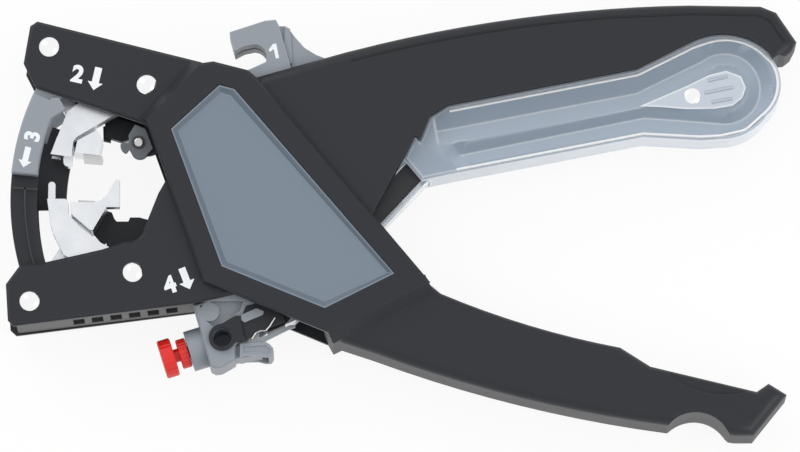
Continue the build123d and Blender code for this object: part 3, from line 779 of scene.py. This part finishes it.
def makeStation():
    low = station["face"] - station["plateSunk"]
    top = station["face"] + station["plateThick"]
    plate = flatPiece("station_plate", station["plate"], low, top, station["plateEdge"])
    placePiece(plate, blackNylon, "lever_b")
    half = station["wireHalf"]
    diamond = [(-half, 0), (0, -half), (half, 0), (0, half)]
    points = [(x, y, top + half) for x, y in station["wire"]]
    wire = sweptPiece("station_wire", points, diamond, station["wireBend"], groundSteel)
    placePiece(wire, groundSteel, "lever_b")
    # the ridge's pale grey stands for the light along a rounded ridge: a painted highlight
    ridge = flatPiece("station_ridge", station["ridge"], top - station["ridgeSunk"],
                      top + station["ridgeHigh"], station["ridgeEdge"])
    placePiece(ridge, greyNylon, "lever_b")


makeStation()
print("station finished")


# small plates: the step beside the cutter's hook, and the ends of the webs behind two of the jaws

fills = {
    "hook_step": {
        "corners": [(4.6, 47.0), (6.0, 46.3), (6.6, 37.0), (4.2, 36.4)],
        "low": 14.6,
        "high": 19.4,
        "node": "cutter_hook",
        "body": "lever_b",
        "finish": greyNylon,
    },
    "rear_web": {
        "corners": [(-47.4, -6.7), (-43.1, -1.2), (-41.8, -1.6), (-41.8, -9.0), (-44.2, -10.4)],
        "low": 6.4,
        "high": 7.6,
        "node": "lever_b_rear_shell",
        "body": "lever_b",
        "finish": blackNylon,
    },
    "upper_web": {
        "corners": [(-44.3, 21.9), (-42.2, 22.4), (-42.2, 17.6), (-44.2, 18.0)],
        "low": 4.9,
        "high": 6.7,
        "node": "lever_a_rear_shell",
        "body": "lever_a",
        "finish": blackNylon,
    },
}
for name, row in fills.items():
    plate = flatPiece(name, row["corners"], row["low"], row["high"])
    placePiece(plate, row["finish"], row["body"])
print("small plates placed")


# thin dark disc round the screw of the length stop, just clear of the stop

darkRing = {"at": (-34.3, 15.1), "radius": 1.9, "clear": 0.02, "thick": 0.08, "sides": 32}


def makeDarkRing():
    low = boxOf("length_stop")[2][1] + darkRing["clear"]
    turns = [math.tau * k / darkRing["sides"] for k in range(darkRing["sides"])]
    (x, y), radius = darkRing["at"], darkRing["radius"]
    corners = [(x + radius * math.cos(turn), y + radius * math.sin(turn)) for turn in turns]
    disc = flatPiece("stop_dark_ring", corners, low, low + darkRing["thick"])
    placePiece(disc, darkNylon, "lever_a")


makeDarkRing()
print("washer placed")


# the cover's inlay: a narrow rim, a steep step with painted shade, and the flat field

inlay = {
    "rim": 0.55,
    "step": 1.4,
    "deep": 0.9,
    "edge": 0.12,
    "edgeFrom": 20,
    # how far a face of the step looks up, between upright and level: those faces get the painted
    # shade
    "stepFrom": 0.3,
    "stepTo": 0.93,
}


def steppedInlay(name):
    # the outline comes from the solid's back face
    solid = nodeCopy(name)
    back = min(solid.faces, key=lambda f: f.calc_center_median().z)
    corners = [v.co.copy() for v in back.verts]
    high = max(v.co.z for v in solid.verts)
    solid.free()
    bm = bmesh.new()
    prism(bm, corners, high - corners[0].z)
    field = max(bm.faces, key=lambda f: f.calc_center_median().z)
    bmesh.ops.inset_region(bm, faces=[field], thickness=inlay["rim"] * mm)
    bmesh.ops.inset_region(bm, faces=[field], thickness=inlay["step"] * mm,
                           depth=-inlay["deep"] * mm)
    piece = newMesh(name + "_stepped", bm)
    rim = piece.modifiers.new("edge", "BEVEL")
    rim.width = inlay["edge"] * mm
    rim.segments = 2
    rim.angle_limit = math.radians(inlay["edgeFrom"])
    bakeModifiers(piece)
    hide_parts(name)
    placePiece(piece, greyInlay, bodyOf(name))
    piece.data.materials.append(inlayStepPaintedShade)
    # the step's sloped faces take the darker copy: painted shade
    for face in piece.data.polygons:
        face.material_index = 1 if inlay["stepFrom"] < face.normal.z < inlay["stepTo"] else 0


steppedInlay("front_inlay")
print("inlay stepped")


# white pad printed numbers and arrows of the four working places

prints = {
    "thick": 0.06,
    "bold": 0.045,
    # any small depth will do, since the digit is then scaled to "thick"
    "extrude": 0.01,
    "digits": [
        {"text": "2", "at": (-50.6, 33.3), "turn": -13, "high": 4.8, "body": "lever_a"},
        {"text": "3", "at": (-62.7, 16.5), "turn": 78, "high": 4.3, "body": "lever_a"},
        {"text": "4", "at": (-25.9, -23.6), "turn": 20, "high": 4.8, "body": "lever_b"},
    ],
    # an arrow's head is this share of its own width long
    "headLong": 0.52,
    "arrows": [
        {"on": "2", "tail": (-45.0, 35.0), "tip": (-46.4, 28.9), "head": 4.1, "shaft": 1.9,
         "body": "lever_a"},
        {"on": "3", "tail": (-63.7, 13.6), "tip": (-65.0, 8.1), "head": 3.6, "shaft": 1.6,
         "body": "lever_a"},
        {"on": "4", "tail": (-22.7, -19.1), "tip": (-20.5, -24.8), "head": 4.3, "shaft": 1.9,
         "body": "lever_b"},
    ],
    "one": [(2.3, 42.1), (3.1, 38.2), (2.2, 38.0), (1.6, 40.6), (0.6, 39.8), (0.3, 40.4),
            (1.4, 42.0)],
    # height of the printed faces above the floor
    "faces": {"1": 20.5, "2": 24.0, "3": 23.4, "4": 24.0},
    "nodes": {"1": "cutter_hook", "2": "lever_a_front_shell", "3": "twist_shoe_front",
              "4": "lever_b_front_shell"},
}


def printDigit(row):
    curve = bpy.data.curves.new("digit", "FONT")
    curve.body = row["text"]
    curve.align_x = "CENTER"
    curve.align_y = "CENTER"
    curve.offset = prints["bold"]
    curve.extrude = prints["extrude"]
    text = bpy.data.objects.new("digit", curve)
    bpy.context.scene.collection.objects.link(text)
    graph = bpy.context.evaluated_depsgraph_get()
    mesh = bpy.data.meshes.new_from_object(text.evaluated_get(graph))
    bpy.data.objects.remove(text)
    xs, ys, zs = ([v.co[k] for v in mesh.vertices] for k in range(3))
    scale = row["high"] / (max(ys) - min(ys))
    centre = Vector(((max(xs) + min(xs)) / 2, (max(ys) + min(ys)) / 2, min(zs)))
    lift = prints["thick"] / (max(zs) - min(zs))
    mesh.transform(Matrix.Translation(-centre))
    mesh.transform(Matrix.Diagonal((scale, scale, lift, 1)))
    mesh.transform(Matrix.Rotation(math.radians(row["turn"]), 4, "Z"))
    mesh.transform(Matrix.Translation((*row["at"], prints["faces"][row["text"]])))
    mesh.transform(Matrix.Diagonal((mm, mm, mm, 1)))
    piece = bpy.data.objects.new("printed_number_" + row["text"], mesh)
    bpy.context.scene.collection.objects.link(piece)
    placePiece(piece, padInk, row["body"])


def printShape(name, corners, station, body):
    low = prints["faces"][station]
    piece = flatPiece(name, corners, low, low + prints["thick"])
    placePiece(piece, padInk, body)


def printArrow(row):
    tail = Vector(row["tail"])
    tip = Vector(row["tip"])
    along = (tip - tail).normalized()
    across = Vector((-along.y, along.x))
    neck = tip - along * row["head"] * prints["headLong"]
    corners = [
        tail + across * row["shaft"] / 2, tail - across * row["shaft"] / 2,
        neck - across * row["shaft"] / 2, neck - across * row["head"] / 2, tip,
        neck + across * row["head"] / 2, neck + across * row["shaft"] / 2,
    ]
    printShape("printed_arrow_" + row["on"], corners, row["on"], row["body"])


for row in prints["digits"]:
    printDigit(row)
printShape("printed_number_1", prints["one"], "1", "lever_b")
for row in prints["arrows"]:
    printArrow(row)
print("numbers and arrows printed")


# floor and light

# shown: the share of pure white that the background's rays see on the lit sheet
floorSheet = {"size": 4000.0, "colour": "#f6f6f6", "shown": 0.9}


def backgroundRays(tree):
    # 1 for the rays that see the background: the camera's, and those off metal and through glass
    rays = addNode(tree, "ShaderNodeLightPath")
    either = addNode(tree, "ShaderNodeMath", {"operation": "MAXIMUM"},
                     {0: rays.outputs["Is Camera Ray"], 1: rays.outputs["Is Transmission Ray"]})
    return addNode(tree, "ShaderNodeMath", {"operation": "MAXIMUM"},
                   {0: either.outputs["Value"], 1: rays.outputs["Is Glossy Ray"]}).outputs["Value"]


def makeFloor():
    material, tree = startMaterial("paintedBoard")
    share = addNode(tree, "ShaderNodeMath", {"operation": "MULTIPLY", 1: floorSheet["shown"]},
                    {0: backgroundRays(tree)})
    lit = addNode(tree, "ShaderNodeBsdfDiffuse", {"Color": hexToLinear(floorSheet["colour"])})
    glow = addNode(tree, "ShaderNodeEmission", {"Color": (1, 1, 1, 1), "Strength": 1.0})
    both = addNode(tree, "ShaderNodeMixShader", None,
                   {0: share.outputs["Value"], 1: lit.outputs["BSDF"], 2: glow.outputs["Emission"]})
    addNode(tree, "ShaderNodeOutputMaterial", None, {"Surface": both.outputs["Shader"]})
    bm = bmesh.new()
    half = floorSheet["size"] / 2 * mm
    corners = [(-half, -half, 0), (half, -half, 0), (half, half, 0), (-half, half, 0)]
    bm.faces.new([bm.verts.new(corner) for corner in corners])
    floor = newMesh("floor", bm)
    floor.data.materials.append(material)


lamps = {
    "aim": (30, 0, 12),
    # two soft boxes, with their power in watts
    "boxes": [
        {"at": (-420, 420, 420), "size": 320, "power": 1.2},
        {"at": (480, -260, 420), "size": 320, "power": 0.9},
    ],
    # the room, which lights the matt part of each colour: a wide soft ceiling over dark walls,
    # leaning so that the near wall is the darkest
    "roomAxis": (0.0, 0.36, 0.93),
    "ceiling": 0.98,
    "walls": 0.05,
    "wallTop": 0.2,
    "ceilingEdge": 0.60,
    # tall bright sheets to the left and the right
    "sheets": 0.92,
    "sheetFrom": 0.40,
    "sheetTo": 0.70,
}


def makeLight():
    for number, row in enumerate(lamps["boxes"]):
        data = bpy.data.lights.new("softBox%d" % number, "AREA")
        data.shape = "SQUARE"
        data.size = row["size"] * mm
        data.energy = row["power"]
        lamp = bpy.data.objects.new(data.name, data)
        lamp.location = Vector(row["at"]) * mm
        aim = (Vector(lamps["aim"]) - Vector(row["at"])).normalized()
        lamp.rotation_euler = aim.to_track_quat("-Z", "Y").to_euler()
        bpy.context.scene.collection.objects.link(lamp)
    world = bpy.data.worlds.new("studio")
    bpy.context.scene.world = world
    world.use_nodes = True
    tree = world.node_tree
    tree.nodes.clear()
    place = addNode(tree, "ShaderNodeTexCoord")
    parts = addNode(tree, "ShaderNodeSeparateXYZ", None, {"Vector": place.outputs["Generated"]})
    leaning = addNode(tree, "ShaderNodeVectorMath",
                      {"operation": "DOT_PRODUCT", 1: lamps["roomAxis"]},
                      {0: place.outputs["Generated"]})
    rise = addNode(tree, "ShaderNodeMapRange",
                   {"interpolation_type": "SMOOTHSTEP",
                    "From Min": lamps["wallTop"], "From Max": lamps["ceilingEdge"],
                    "To Min": lamps["walls"], "To Max": lamps["ceiling"]},
                   {"Value": leaning.outputs["Value"]})
    aside = addNode(tree, "ShaderNodeMath", {"operation": "ABSOLUTE"}, {0: parts.outputs["X"]})
    sheet = addNode(tree, "ShaderNodeMapRange",
                    {"interpolation_type": "SMOOTHSTEP",
                     "From Min": lamps["sheetFrom"], "From Max": lamps["sheetTo"],
                     "To Min": 0.0, "To Max": lamps["sheets"]},
                    {"Value": aside.outputs["Value"]})
    room = addNode(tree, "ShaderNodeMath", {"operation": "MAXIMUM"},
                   {0: rise.outputs["Result"], 1: sheet.outputs["Result"]})
    soft = addNode(tree, "ShaderNodeBackground", {"Color": (1, 1, 1, 1)},
                   {"Strength": room.outputs["Value"]})
    white = addNode(tree, "ShaderNodeBackground", {"Color": (1, 1, 1, 1), "Strength": 1.0})
    both = addNode(tree, "ShaderNodeMixShader", None,
                   {0: backgroundRays(tree), 1: soft.outputs["Background"],
                    2: white.outputs["Background"]})
    addNode(tree, "ShaderNodeOutputWorld", None, {"Surface": both.outputs["Shader"]})


makeFloor()
makeLight()
bpy.context.scene.view_settings.view_transform = "Standard"
print("floor and light ready")
